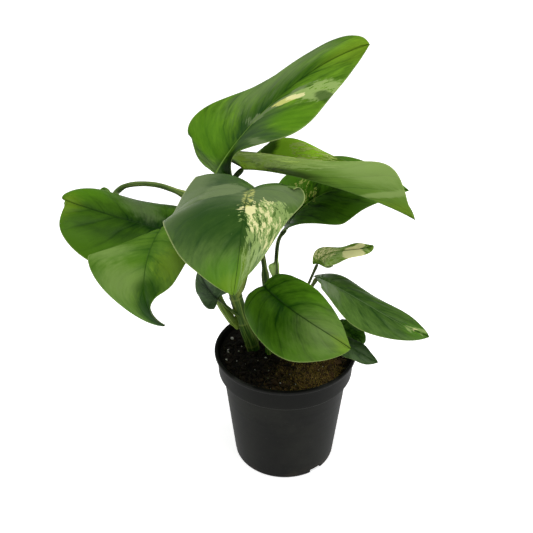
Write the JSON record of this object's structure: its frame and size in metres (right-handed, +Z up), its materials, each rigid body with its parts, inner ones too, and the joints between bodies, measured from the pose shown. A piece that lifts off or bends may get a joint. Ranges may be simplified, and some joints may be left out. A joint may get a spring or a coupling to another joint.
{
  "type": "potted monstera lechleriana",
  "caption": "Potted climbing aroid house plant with folded green and cream leaves on sheathed stalks, in a round black nursery pot filled with soil.",
  "frame": {"origin": "middle of the pot's flat base, on the surface that the pot stands on", "axes": "+Z up along the pot's axis; -Y towards the side that the front leaves point to; +X to the right when looking along +Y"},
  "size_m": [0.2896, 0.2435, 0.3629],
  "materials": {
    "pot_plastic": "matte black moulded plastic",
    "soil": "moist bark and peat mix, loose and matte",
    "stalk_green": "smooth living stem, satin",
    "leaf_green": "smooth waxy leaf with cream marbling, semi-gloss"
  },
  "bodies": {
    "root": {"pot": "pot_plastic", "soil": "soil", "stem_main": "stalk_green", "stem_rear": "stalk_green", "stalk_01_top": "stalk_green", "stalk_02_upper_right": "stalk_green", "stalk_03_rear_right": "stalk_green", "stalk_04_front_centre": "stalk_green", "stalk_05_far_left": "stalk_green", "stalk_06_lower_left": "stalk_green", "stalk_07_front_lower": "stalk_green", "stalk_08_lower_right": "stalk_green", "stalk_09_small_marbled": "stalk_green", "stalk_10_small_inner": "stalk_green", "stalk_11_small_low": "stalk_green", "stalk_12_small_left": "stalk_green", "stalk_13_arched": "stalk_green", "leaf_01_top": "leaf_green", "leaf_02_upper_right": "leaf_green", "leaf_03_rear_right": "leaf_green", "leaf_04_front_centre": "leaf_green", "leaf_05_far_left": "leaf_green", "leaf_06_lower_left": "leaf_green", "leaf_07_front_lower": "leaf_green", "leaf_08_lower_right": "leaf_green", "leaf_09_small_marbled": "leaf_green", "leaf_10_small_inner": "leaf_green", "leaf_11_small_low": "leaf_green", "leaf_12_small_left": "leaf_green", "leaf_13_small_hidden": "leaf_green"}
  },
  "joints": []
}
